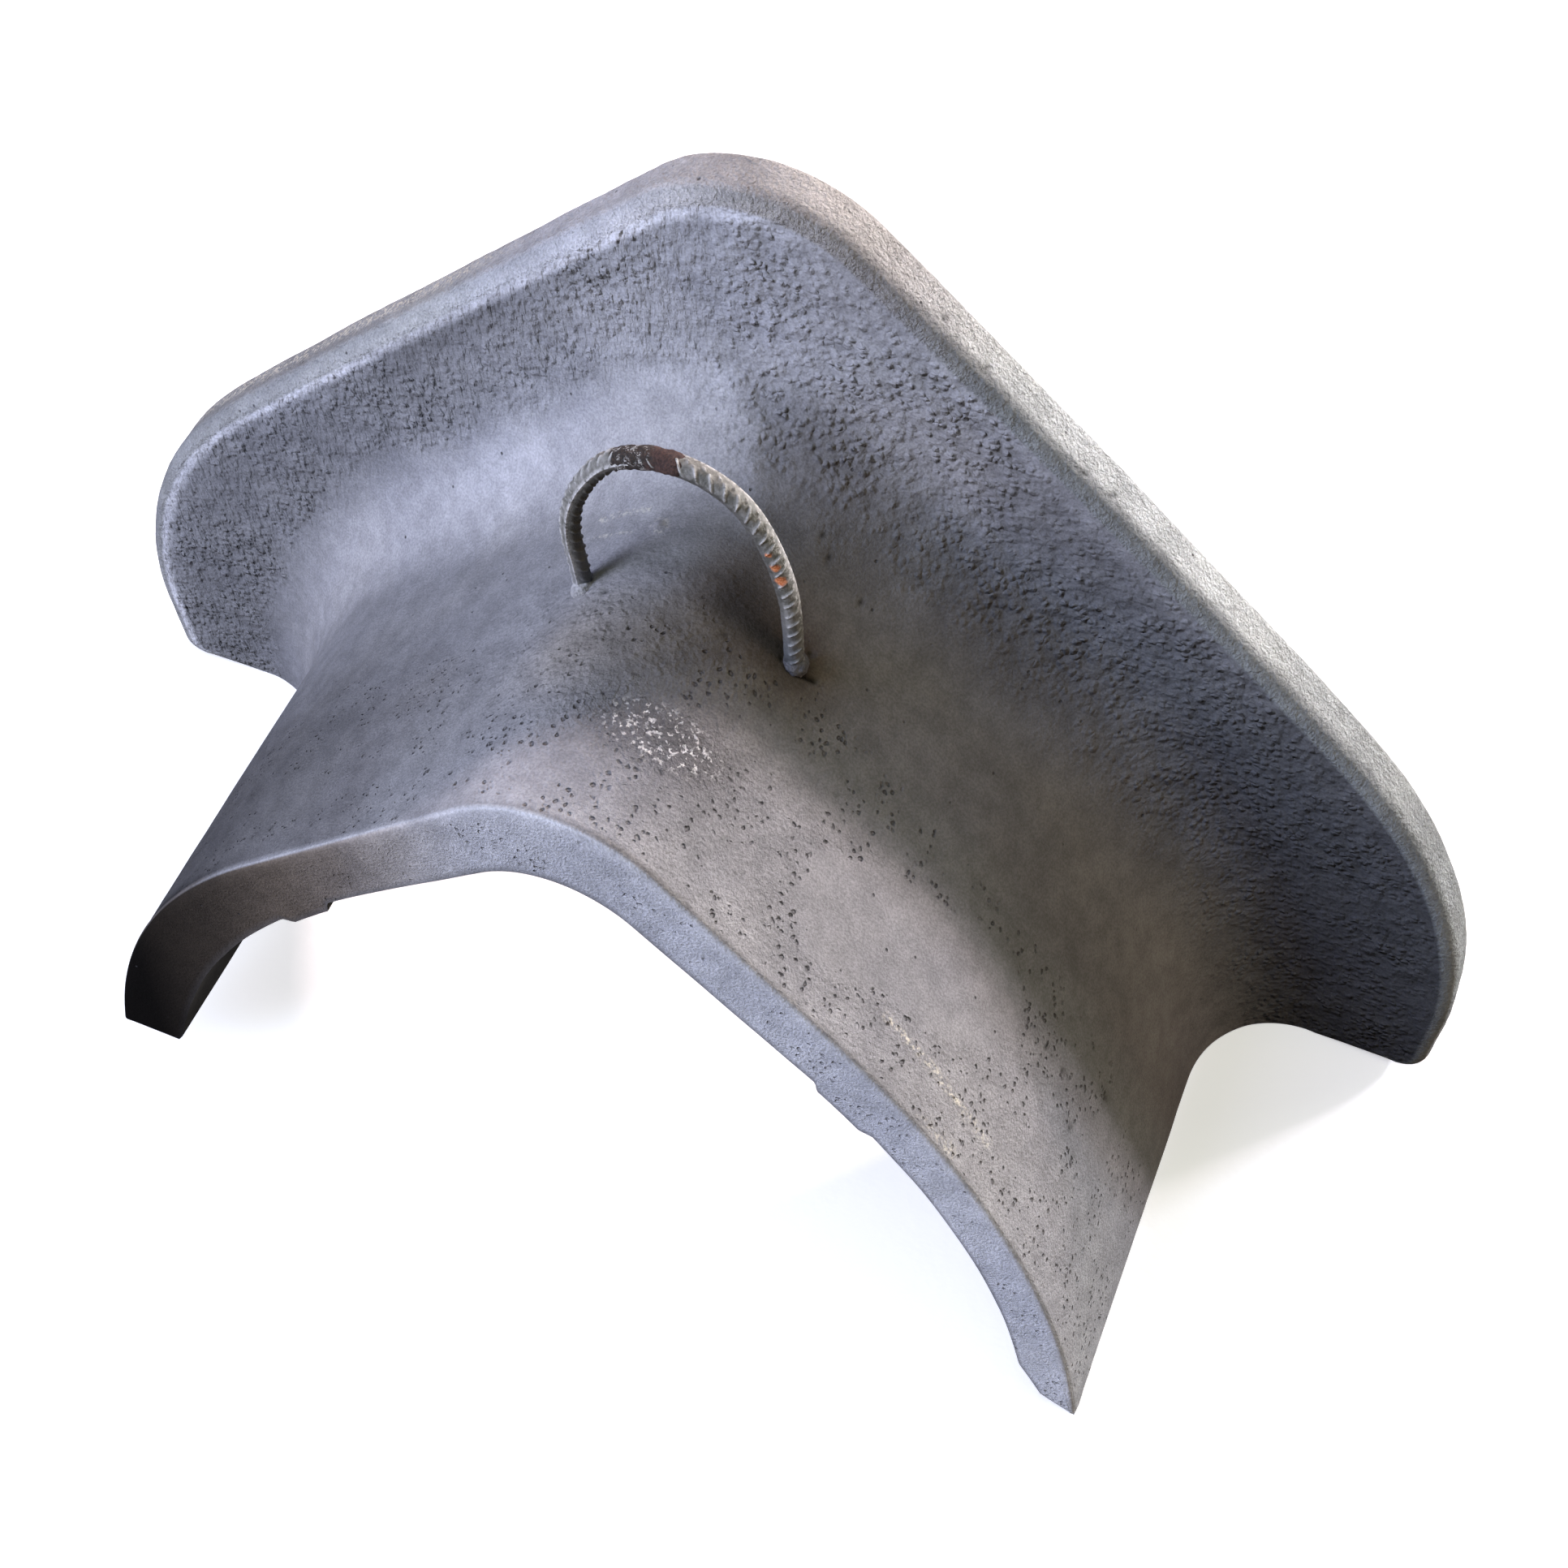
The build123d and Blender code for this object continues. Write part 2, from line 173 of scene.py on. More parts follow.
def outward(poly, d):
    """The half curve moved outwards by d."""
    t = np.gradient(poly, axis=0)
    n = np.c_[-t[:, 1], t[:, 0]]
    n /= np.linalg.norm(n, axis=1)[:, None]
    n[0] = (0, 1)
    return poly + n * d


def clipped(poly, low):
    """The half curve down to the height `low`."""
    below = np.nonzero(poly[:, 1] < low)[0]
    if not len(below):
        return poly
    i = below[0]
    w = (poly[i - 1, 1] - low) / (poly[i - 1, 1] - poly[i, 1])
    return np.vstack([poly[:i], poly[i - 1] + (poly[i] - poly[i - 1]) * w])


def spread(poly, t):
    """Points at the fractions t of the half curve's length."""
    s = np.r_[0, np.cumsum(np.linalg.norm(np.diff(poly, axis=0), axis=1))]
    return np.c_[np.interp(t * s[-1], s, poly[:, 0]), np.interp(t * s[-1], s, poly[:, 1])]


def arch_half(shoulder, half_width):
    """The arch under the saddle, with the leg's slanted foot, almost to the saddle's outline."""
    line = shouldered(**ARCH, shoulder=shoulder, beyond=0)
    return np.vstack([line, ARCH_FOOT, (half_width - 0.02, 0.01)])


# each outline as its (left, right) halves
SADDLE_LINE = (
    shouldered(**SADDLE, shoulder=LEFT_SHOULDER, end=(LEFT_HALF, 0.0), beyond=BEYOND),
    shouldered(**SADDLE, shoulder=RIGHT_SHOULDER, end=(RIGHT_HALF, 0.0), beyond=BEYOND))
ARCH_LINE = (arch_half(LEFT_ARCH, LEFT_HALF), arch_half(RIGHT_ARCH, RIGHT_HALF))
FLANGE_LINE = (flange_half(), flange_half())


# ---- casting ----------------------------------------------------------------------------
def steps(a, b, pitch, fine=()):
    """Stations from a to b about `pitch` apart, closer by `k` around each (centre, half, k)."""
    out = [a]
    while out[-1] < b:
        p = pitch
        for centre, half, k in fine:
            d = max(0.0, abs(out[-1] + p * k / 2 - centre) - half)
            p = min(p, pitch * (k + (1 - k) * min(1.0, d / (4 * half + 1e-9))))
        out.append(out[-1] + p)
    out = np.array(out)
    return a + (out - a) * (b - a) / (out[-1] - a)


# mesh spacing in mm, closer round the loop's feet and where the hollow starts
HALF_LEN = 523.0
COL_PITCH, ROW_PITCH = 2.65, 3.2
FINE_COLS = ((-42.0, 22, 0.5), (76.0, 12, 0.4))
FINE_ROWS = ((0.785, 0.03, 0.45), (0.98, 0.02, 0.5))
SADDLE_LEN = 215
BLEND_ROWS, FRONT_ROWS, RIM_ARC_ROWS, RIM_ROWS, BACK_ROWS, NEAR_ROWS = 31, 31, 8, 6, 10, 9
COLS = steps(
    -1.0, 1.0, COL_PITCH / HALF_LEN, [(c / HALF_LEN, half / HALF_LEN, k) for c, half, k in FINE_COLS])


def seat(x, y0):
    """y of the flange's curved face at x, for a face at y0 in the middle."""
    return y0 - SEAT_RADIUS + np.sqrt(SEAT_RADIUS ** 2 - x * x)


def left_cut(y):
    """Height at which the left leg ends, for a foot at y."""
    d = min(max(y - LEG_END, 0.0), LEFT_LEG_RISE)
    return math.sqrt(LEFT_LEG_RISE ** 2 - d * d)


def row(line, offset=0.0, low_left=0.0):
    """The outline moved outwards by offset, as (x, z) at each column."""
    left, right = [outward(half, offset) if offset else half for half in line]
    left = spread(clipped(left, low_left), -COLS[COLS < 0])
    right = spread(clipped(right, 0.0), COLS[COLS >= 0])
    return np.vstack([left * (-1, 1), right])


def casting_rows():
    """Rows of points once round the casting, from the near edge over the top, and their kinds."""
    rows, kind = [], []

    def put(xz, y, name):
        rows.append(np.c_[xz[:, 0], y, xz[:, 1]])
        kind.append(name)

    def near(xz):
        return Y_NEAR + xz[:, 1] * NEAR_LEAN

    for a in np.radians((0, 22, 45, 68, 90)):
        xz = row(SADDLE_LINE, -NEAR_EDGE_R * (1 - math.sin(a)), LEFT_LEG_RISE)
        put(xz, near(xz) + NEAR_EDGE_R * (1 - math.cos(a)), "edge")
    for w in steps(0, 1, ROW_PITCH / SADDLE_LEN, FINE_ROWS)[1:-1]:
        foot_y = (1 - w) * (Y_NEAR + 7) + w * (seat(LEFT_HALF, Y_FRONT) - BLEND_R)
        xz = row(SADDLE_LINE, 0, left_cut(foot_y))
        hollow = seat(xz[:, 0], Y_FRONT) - BLEND_R
        put(xz, (1 - w) * (near(xz) + NEAR_EDGE_R) + w * hollow, "saddle")
    for a in np.radians(np.linspace(0, 90, BLEND_ROWS)):
        foot_y = seat(LEFT_HALF, Y_FRONT) - BLEND_R * (1 - math.sin(a))
        xz = row(SADDLE_LINE, BLEND_R * (1 - math.cos(a)), left_cut(foot_y))
        put(xz, seat(xz[:, 0], Y_FRONT) - BLEND_R * (1 - math.sin(a)), "blend")
    inner = row(SADDLE_LINE, BLEND_R)
    outer = row(FLANGE_LINE, -RIM_FRONT_R)
    for w in np.linspace(0, 1, FRONT_ROWS)[1:]:
        xz = inner + (outer - inner) * w
        put(xz, seat(xz[:, 0], Y_FRONT), "front")
    for a in np.radians(np.linspace(0, 90, RIM_ARC_ROWS)[1:]):
        xz = row(FLANGE_LINE, -RIM_FRONT_R * (1 - math.sin(a)))
        put(xz, seat(xz[:, 0], Y_FRONT) + RIM_FRONT_R * (1 - math.cos(a)), "rim")
    xz = row(FLANGE_LINE)
    flat = FLANGE_T - RIM_FRONT_R - RIM_BACK_R
    for w in np.linspace(0, 1, RIM_ROWS)[1:-1]:
        put(xz, seat(xz[:, 0], Y_FRONT + RIM_FRONT_R + w * flat), "rim")
    for a in np.radians((0, 30, 60, 90)):
        xz = row(FLANGE_LINE, -RIM_BACK_R * (1 - math.cos(a)))
        put(xz, seat(xz[:, 0], Y_BACK) - RIM_BACK_R * (1 - math.sin(a)), "rim")
    arch = row(ARCH_LINE)
    for w in np.linspace(0, 1, BACK_ROWS)[1:]:
        p = xz + (arch - xz) * w
        put(p, seat(p[:, 0], Y_BACK), "back")
    pad_row = (LENGTH - PAD_LEN) / LENGTH   # where the locating pads begin, from the back
    before_pads = np.linspace(0, pad_row, 11)[1:]
    on_pads = pad_row + 0.05 * np.arange(1, 7)[:-1] * 0.98
    for w in np.r_[before_pads, pad_row + 0.0005, on_pads, 1.0]:
        foot_y = (1 - w) * seat(ARCH_FOOT[0], Y_BACK) + w * (Y_NEAR + 4)
        p = row(ARCH_LINE, 0, left_cut(foot_y))
        y = (1 - w) * seat(p[:, 0], Y_BACK) + w * near(p)
        if w > pad_row:
            a = math.radians(ARCH["slope"])
            along = (np.abs(p[:, 0]) - PAD_X) / math.cos(a)
            lift = np.clip(PAD_W / 2 - np.abs(along), 0, PAD_H)
            p = p - np.c_[np.sign(p[:, 0]) * math.sin(a) * lift, math.cos(a) * lift]
        put(p, y, "arch")
    start = rows[-1][:, (0, 2)]
    end = row(SADDLE_LINE, -NEAR_EDGE_R, LEFT_LEG_RISE)
    for w in np.linspace(0, 1, NEAR_ROWS)[1:-1]:
        p = start + (end - start) * w
        put(p, near(p), "near")
    return np.array(rows), kind


def grid_normals(g):
    """Outward unit normals of a grid closed along its first axis."""
    dv = np.roll(g, -1, 0) - np.roll(g, 1, 0)
    du = np.gradient(g, axis=1)
    n = np.cross(du, dv)
    n /= np.linalg.norm(n, axis=2)[..., None] + 1e-12
    return n


def mesh_from(name, points, faces):
    """A mesh from points in mm."""
    mesh = bpy.data.meshes.new(name)
    mesh.from_pydata((points.reshape(-1, 3) / 1000).tolist(), [], faces)
    mesh.update()
    return mesh


def mesh_from_grid(name, g):
    """A closed tube of quads from g[row, column], in mm, with flat ends."""
    nv, nu = g.shape[:2]
    index = np.arange(nv * nu).reshape(nv, nu)
    a, b = index, np.roll(index, -1, 0)
    quads = np.stack([a[:, :-1], a[:, 1:], b[:, 1:], b[:, :-1]], -1).reshape(-1, 4)
    faces = quads.tolist()
    for col, flip in ((0, False), (nu - 1, True)):
        loop = [Vector((p[0], p[1], 0)) for p in g[:, col]]
        for tri in tessellate_polygon([loop]):
            tri = tri[::-1] if flip else tri
            faces.append([int(index[i, col]) for i in tri])
    return mesh_from(name, g, faces)


def attribute(mesh, name, *channels):
    """A per-vertex colour attribute from four arrays."""
    values = np.stack(channels, -1).reshape(-1, 4)
    layer = mesh.color_attributes.new(name, "FLOAT_COLOR", "POINT")
    layer.data.foreach_set("color", np.ascontiguousarray(values, dtype=np.float32).ravel())


def place(name, mesh, node, angle=40):
    """The mesh as an object that rides the guard, in place of the CAD node."""
    obj = bpy.data.objects.new(name, mesh)
    bpy.context.scene.collection.objects.link(obj)
    mesh.shade_smooth()
    mesh.set_sharp_from_angle(angle=math.radians(angle))
    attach(obj, "root")
    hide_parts(node)
    return obj


base, kind = casting_rows()
kind = np.array(kind)
row_number = np.arange(len(kind))
normals = grid_normals(base)
X, Y, Z = base[..., 0], base[..., 1], base[..., 2]
is_kind = {k: (kind == k)[:, None] * np.ones_like(X) for k in set(kind.tolist())}
turn = np.zeros_like(X)                     # 0 where the hollow leaves the saddle, 1 at the flange
turn[kind == "blend"] = np.linspace(0, 1, (kind == "blend").sum())[:, None]
turn[(kind == "front") | (kind == "rim")] = 1
seen = is_kind["saddle"] + is_kind["blend"] + is_kind["front"] + is_kind["rim"]
wobble = lattice(base, 30, 9)

# how the sand-cast skin varies over the casting
left = smooth(20, -60, X)
pebble = (smooth(0.12, 0.75, turn + 0.18 * wobble) * (1 - left)
          + smooth(0.75, 1.0, turn + 0.1 * wobble) * left)
front_v = np.zeros(len(kind))               # 0 at the foot of the flange's front face, 1 at its rim
front_v[kind == "front"] = np.linspace(0, 1, (kind == "front").sum())
rim_row = np.zeros(len(kind))               # 0 at the front edge of the rim, 1 at its back edge
rim_row[kind == "rim"] = np.linspace(0, 1, (kind == "rim").sum())
rounding = rim_row[:, None] * is_kind["rim"]
pebble = pebble * (1 - 0.5 * smooth(0.90, 1.0, front_v)[:, None])
pebble = pebble * (1 - 0.75 * is_kind["rim"])
pebble = pebble * (0.72 + 0.45 * lattice(base, 55, 14))
drag = left * smooth(0.55, 1.0, turn + 0.1 * wobble) * (1 - 0.6 * is_kind["rim"])
PATCH = ((128, -66, 306), (165, -58, 275), (200, -46, 237))     # smooth part of the right flank
LEFT_PITS = ((-36, -110, 374), (-60, -95, 352), (-85, -70, 325), (-95, -40, 315))
BARE_SPOT = ((207, -140, 229), (200, -139, 238))                # by the near edge
EDGE_SPOT = ((196, -134, 241), (214, -133, 222))
smooth_patch = smooth(0.40, 0.50, near_line(base, PATCH, 52) + 0.12 * lattice(base, 14, 5))
band = smooth(40, -20, Y + 0.25 * np.maximum(X - 120, 0) + 14 * wobble) * is_kind["saddle"]
right_side = smooth(-90, 40, X)
left_band = near_line(base, LEFT_PITS, 30)
pits = band * (0.25 + 0.75 * right_side) * (1 - smooth_patch)
pits = (np.maximum(pits, 0.8 * left_band * is_kind["saddle"])
        + 0.25 * is_kind["near"] * smooth(-200, -90, X))
spark = np.exp(-(((X - 26) / 34) ** 2 + ((Y + 48) / 17) ** 2) ** 1.5) * is_kind["saddle"]
spark = np.maximum(spark, near_line(base, BARE_SPOT, 9) * seen)

# single features of the surface, at points in mm
BUMP = (-26.3, 68.8, 385.8)
FOOT_CRACK = ((62.5, 25.5, 363.0), (66, 25.8, 360.5), (75.5, 29.5, 352.0))
FOOT_RING = (75.5, 40.5, 352.3)
CREASE = (
    (-10, 135, 437), (-4, 129.3, 422.4), (3, 121.3, 411.5), (10, 111.2, 402), (15.4, 102.5, 395.8),
    (19, 86.5, 389.3))
SCUFFS = (
    ((-64.9, 66.9, 361.1), (-51.8, 64.4, 372.1), (-40.1, 64.6, 379.8)),
    ((-67.6, 79.2, 359.2), (-54.1, 79.4, 370.7), (-37.0, 79.6, 381.8)))
SCRATCH = (
    (164.6, -97.2, 275.3), (196.3, -103.2, 242.4), (210.3, -108.0, 225.8), (228.7, -111.8, 201.5))
PITS = (                                    # (centre, radius, depth)
    ((-36.4, 23.2, 381.7), 3.4, 1.7), ((68.4, 41.0, 358.1), 2.8, 1.7), ((58.7, 27.0, 366.3), 2.4, 1.3),
    ((31.5, 18.8, 383.9), 2.8, 1.0), ((249.9, -43.9, 169.2), 4.0, 1.3), ((274.7, -28.4, 122.8), 4.5, 1.2),
    ((262.4, -64.1, 147.1), 4.0, 1.0), ((238.2, -41.7, 187.7), 3.6, 1.1), ((268.7, -76.7, 135.1), 3.6, 0.9),
    ((105.0, -15.3, 327.0), 2.6, 0.9),
    ((-90.4, -25.8, 339.4), 2.6, 1.2), ((-188.7, -106.5, 255.7), 2.6, 1.2),
    ((-20.0, -113.1, 387.4), 3.0, 1.4), ((-220.3, -125.1, 226.3), 2.4, 0.8),
    ((-67.5, -121.8, 337.1), 3.2, 1.2), ((94.7, 150.1, 502.3), 3.0, 1.3),
    ((118.7, 146.3, 481.6), 3.2, 1.5), ((179.8, 162.0, 428.1), 3.4, 1.5),
    ((189.1, 143.6, 420.9), 3.2, 1.5), ((174.2, 142.0, 433.4), 3.0, 1.3),
    ((52.3, 99.1, 378.8), 3.2, 1.4), ((79.0, 85.7, 350.9), 3.2, 1.3),
    ((-103.0, -40.8, 328.7), 3.0, 1.2), ((-98.8, -124.6, 316.9), 2.6, 1.0),
    ((58.3, 92.7, 370.9), 2.6, 1.0))

# relief in mm: broad waves, then each zone's own grain, then the single features
quiet = 1 - 0.85 * is_kind["edge"] - 0.6 * is_kind["near"]
relief = (0.75 * lattice(base, 90, 1) + 0.35 * lattice(base, 38, 2)) * quiet
relief += pebble * (0.40 * lattice(base, 20, 13) + 0.34 * lattice(base, 10, 3))
relief += drag * 0.22 * lattice(base, 7, 6, (1, 1, 2.2))
relief += 0.16 * lattice(base, 6, 7) * is_kind["rim"]
relief += pits * 0.22 * lattice(base, 6, 8)
ledge = bell(turn - 0.05 * wobble, 0.93, 0.05) * is_kind["blend"]
ledge = ledge * smooth(60, -20, X) * smooth(-210, -90, X)
relief += 1.7 * ledge * (0.7 + 0.6 * lattice(base, 12, 12))
relief += 3.0 * dome(base, BUMP, 4.6) * seen
relief += 0.8 * bell(distance_to(FOOT_RING, base), 5.0, 1.8) * seen
relief += 0.35 * near_line(base, SCRATCH, 2.6) * seen
relief += 1.5 * near_line(base, CREASE, 13) * seen
for pit_centre, pit_radius, pit_depth in PITS:
    relief -= pit_depth * dome(base, pit_centre, pit_radius) * seen
crack = near_line(base, FOOT_CRACK, 2.2) * seen
relief -= 2.2 * crack

# the skin stays inside the part's overall size
g = base + normals * relief[..., None]
low, high = base.reshape(-1, 3).min(0), base.reshape(-1, 3).max(0)
g = np.clip(g, low, high)

skin = mesh_from_grid("casting_skin", g)

# marks: painted shade in the cracks and pits, pale worn places and a painted highlight ring round the bump
pit_dark = sum(dome(base, c, r * 0.8) for c, r, _ in PITS) * seen
dark = np.clip(0.95 * crack + 0.75 * pit_dark, 0, 1)
wear_and_bump_highlight = is_kind["edge"] * 0.08 * right_side
wear_and_bump_highlight += 0.8 * near_line(base, EDGE_SPOT, 7) * seen
# a painted highlight ring round the bump
wear_and_bump_highlight += 0.5 * bell(distance_to(BUMP, base), 4.2, 1.3) * seen
chips = 1.2 * bell(rim_row[:, None], 0.66, 0.12) * is_kind["rim"] * smooth(-120, -190, X)
scuffs = near_line(base, SCRATCH, 2.6)
for line in SCUFFS:
    scuffs = np.maximum(scuffs, 0.55 * near_line(base, line, 1.6))
pale = np.clip(scuffs * seen + wear_and_bump_highlight + chips, 0, 1)
grain = np.clip(is_kind["near"] + 0.4 * is_kind["edge"], 0, 1)


# shade of the coat, as a multiple of the plain grey: painted light and shade, lighter where light falls,
# darker in shade in the hollows and under the arch, and darkest towards the left leg
def across(*stops):
    """A value that follows the (x, value) stops across the guard."""
    return np.interp(X, *zip(*stops))


flange_tone = across(
    (-448, 0.85), (-400, 0.85), (-250, 0.99), (-150, 1.19), (-50, 1.56), (60, 1.50), (180, 0.93),
    (300, 0.57), (400, 0.50), (448, 0.49))
hollow_tone = across(
    (-400, 0.9), (-330, 1.05), (-150, 1.9), (-60, 1.46), (0, 1.32), (25, 1.1), (60, 0.8), (150, 0.66),
    (300, 1.0), (400, 0.47))
root_tone = across(
    (-325, 0.85), (-150, 1.0), (-80, 1.05), (-30, 1.15), (0, 0.85), (30, 0.66), (60, 0.8), (100, 0.98),
    (314, 1.14))
middle_tone = across(
    (-325, 0.33), (-200, 0.50), (-110, 0.90), (-40, 1.25), (0, 0.96), (40, 0.80), (90, 0.96),
    (314, 0.95))
near_tone = across(
    (-325, 0.16), (-250, 0.36), (-120, 0.85), (-60, 1.38), (-20, 1.78), (20, 1.6), (60, 1.3), (314, 1.2))
face_tone = across(
    (-325, 0.01), (-290, 0.012), (-215, 0.18), (-130, 0.78), (-60, 1.95), (60, 2.25), (200, 2.65),
    (314, 2.75))
rim_tone = across(
    (-448, 1.0), (-400, 1.1), (-250, 1.25), (-150, 1.6), (-60, 1.85), (0, 2.1), (60, 2.5), (150, 3.2),
    (250, 3.2), (350, 2.2), (448, 1.5))
shaded_rim = across(
    (-448, 1.2), (-380, 1.5), (-250, 1.75), (-60, 2.35), (30, 1.7), (70, 1.4), (448, 1.42))
arch_tone = across((-325, 0.02), (-270, 0.07), (-200, 0.35), (-100, 0.85), (0, 1.0), (400, 1.0))
deep = smooth(0, 0.5, turn)
tone = root_tone + (hollow_tone - root_tone) * deep
tone += (flange_tone - tone) * smooth(0.55, 1.0, turn)
over = smooth(-60, 60, Y)
saddle_tone = middle_tone + (root_tone - middle_tone) * over
saddle_tone += (near_tone - saddle_tone) * smooth(-50, -140, Y)
tone = np.where(is_kind["saddle"] > 0, saddle_tone, tone)
rim_mix = shaded_rim + (rim_tone - shaded_rim) * smooth(0.34, 0.48, rounding)
tone = np.where(is_kind["rim"] > 0, rim_mix, tone)
face_row = is_kind["near"] + is_kind["edge"] * (row_number[:, None] < 3)
tone = np.where(face_row > 0, face_tone, tone)
# the lit line along the near edge, and the shade beside it on the left leg
lit_line = bell(row_number, 3.0, 0.9)[:, None] * is_kind["edge"]
tone *= 1 + 0.75 * lit_line * (smooth(-270, -150, X) * smooth(60, 10, X))
tone *= 1 - 0.65 * bell(row_number, 4.0, 2.5)[:, None] * smooth(-190, -260, X)
tone = np.where(is_kind["arch"] > 0, arch_tone, tone)
# painted highlight and shade bands along the flange's edge
along_top = front_v[:, None] * is_kind["front"]
shaded_band = smooth(0.45, 0.75, along_top) * smooth(0.95, 0.88, along_top)
tone *= 1 - 0.20 * shaded_band * smooth(20, -100, X) * smooth(-290, -200, X)
lit_band = smooth(0.90, 0.97, along_top) * smooth(60, -60, X)
tone *= 1 + (0.85 + 0.35 * smooth(-200, -270, X)) * lit_band
tone *= 1 + 0.30 * smooth(0.6, 0.95, along_top) * smooth(-200, -260, X)
left_rim = is_kind["rim"] * smooth(0, -60, X)
tone *= 1 + 0.16 * bell(rim_row, 0.06, 0.10)[:, None] * left_rim
tone *= 1 - 0.12 * bell(rim_row, 0.42, 0.12)[:, None] * left_rim
tone *= 1 + 0.40 * smooth(0.70, 0.95, along_top) * smooth(60, 130, X) * smooth(330, 240, X)
# the step of shade down the hollow's crease
CREASE_X = np.interp(Z, (386, 396, 402, 412, 422, 437), (21, 15.4, 10, 3, -4, -10))
shade_step = smooth(-14, 16, X - CREASE_X)
in_hollow = smooth(0.05, 0.2, turn) * smooth(0.98, 0.8, turn) * smooth(95, 30, np.abs(X))
tone *= 1 + (0.10 - 0.34 * shade_step) * in_hollow
# painted shadow round the loop's right foot, and painted brownish shade across the crown
FOOT_SHADE = ((64, 30, 361), (48, 34, 375), (26, 42, 387))
BROWN_LINE = ((-32, -12, 384), (0, 0, 390), (30, 24, 384), (62, 34, 360))
tone *= 1 - 0.60 * near_line(base, FOOT_SHADE, 26) * seen
brown = near_line(base, BROWN_LINE, 48) * seen
tone *= 1 - 0.17 * brown
tone *= 1 + 0.10 * lattice(base, 60, 51) + 0.05 * lattice(base, 24, 52)
tone = np.clip(tone, 0.01, 3.2)

# the coat's colour casts: painted tints of light and shade, bluish where the cool light falls on the hollow
# and the near face
CRUMPLE_TOP = 1.5
cool = smooth(0.3, 0.9, turn) * smooth(60, -20, X) + face_row * smooth(-100, 0, X)
# a painted brownish tint in the shade, wherever the painted tone is dark
warm = smooth(0.95, 0.4, tone) * (1 - 0.8 * smooth(-100, -190, X) * is_kind["saddle"])
warm = warm * (1 - is_kind["front"]) * (1 - 0.6 * is_kind["rim"]) * (1 - 0.6 * is_kind["blend"])
# browner on the near face towards the left leg, a painted olive tint of the light on the rim's right, rosy
# on the rim's middle; brown tints the painted shade across the crown
face_warm = face_row * smooth(-40, -140, X)
olive = is_kind["rim"] * smooth(60, 140, X)
rosy = is_kind["rim"] * bell(X, 10, 70)
red = 1 - 0.02 * cool + 0.07 * warm + 0.05 * face_warm + 0.02 * brown - 0.03 * olive + 0.07 * rosy
green = 1 - 0.02 * warm - 0.07 * face_warm - 0.05 * brown + 0.02 * olive + 0.01 * rosy
blue = 1 + 0.03 * cool - 0.06 * is_kind["rim"] * smooth(-100, -200, X) - 0.11 * warm
blue = blue - 0.20 * face_warm - 0.15 * brown - 0.02 * olive - 0.09 * rosy
attribute(skin, "tint", tone * red, tone * green, tone * blue, np.ones_like(tone))

crown = np.exp(-((X - 5) / 75) ** 2 - ((Y + 25) / 70) ** 2) * is_kind["saddle"]
gritty = np.exp(-((X + 10) / 85) ** 2 - ((Y + 5) / 60) ** 2) * (is_kind["saddle"] + is_kind["blend"])
pebble = np.maximum(pebble, 0.45 * gritty)
crumple = is_kind["rim"] * (
    0.45 + 1.0 * smooth(0, 100, X) * smooth(0.3, 0.5, rounding) + 0.3 * rosy)
crumple = np.clip(crumple, 0, CRUMPLE_TOP) / CRUMPLE_TOP
attribute(skin, "zones", pebble, drag, np.maximum(pits, 0.35 * crown), crumple)
attribute(skin, "marks", dark, pale, spark, grain)
body = place("casting_skin", skin, "guard_casting")


# ---- lifting loop -----------------------------------------------------------------------
LOOP_Z = LOOP_TOP - LOOP_TOP_R
LOOP_OFFSET = LOOP_SIDE_R - LOOP_TOP_R
LOOP_HALF = LOOP_SIDE_R - LOOP_OFFSET * math.sin(math.radians(LOOP_TURN))
LOOP_LEG_Z = LOOP_Z - LOOP_OFFSET * math.cos(math.radians(LOOP_TURN))
LEG_BOTTOM = 346.0
LOOP_STEP = 0.6
ACROSS = np.array((0, 1, 0))


def loop_path(side, last):
    """Distances, centres and outward normals from the leg's bottom to the angle `last`."""
    leg = LOOP_LEG_Z - LEG_BOTTOM
    side_arc = math.radians(90 - LOOP_TURN) * LOOP_SIDE_R
    top_arc = math.radians(LOOP_TURN - side * last) * LOOP_TOP_R
    d = np.arange(0, leg + side_arc + top_arc, LOOP_STEP)
    on_side = d < leg + side_arc
    side_angle = 90 - np.degrees((d - leg) / LOOP_SIDE_R)
    top_angle = LOOP_TURN - np.degrees((d - leg - side_arc) / LOOP_TOP_R)
    a = np.radians(side * np.where(d < leg, 90, np.where(on_side, side_angle, top_angle)))
    radius = np.where(on_side, LOOP_SIDE_R, LOOP_TOP_R)
    cx = LOOP_X - np.where(on_side, side * LOOP_OFFSET * math.sin(math.radians(LOOP_TURN)), 0)
    cz = np.where(on_side, LOOP_LEG_Z, LOOP_Z)
    x = cx + radius * np.sin(a)
    z = cz + radius * np.cos(a)
    z = np.where(d < leg, LEG_BOTTOM + d, z)
    bulge = -2.1 * np.exp(-((d - 88) / 38) ** 2)            # the loop isn't quite even
    x = x + bulge + (1.4 * smooth(70, 20, d) if side < 0 else 0)
    return d, np.c_[x, np.full(len(d), LOOP_Y), z], np.c_[np.sin(a), 0 * a, np.cos(a)]


def round_angles(count):
    return np.linspace(0, 2 * math.pi, count, endpoint=False)


def rings(centres, outs, radii, phi):
    """Points at the angles phi round each centre; angle 0 faces out of the loop."""
    return centres[:, None] + radii * (
        np.cos(phi)[:, None] * outs[:, None] + np.sin(phi)[:, None] * ACROSS)


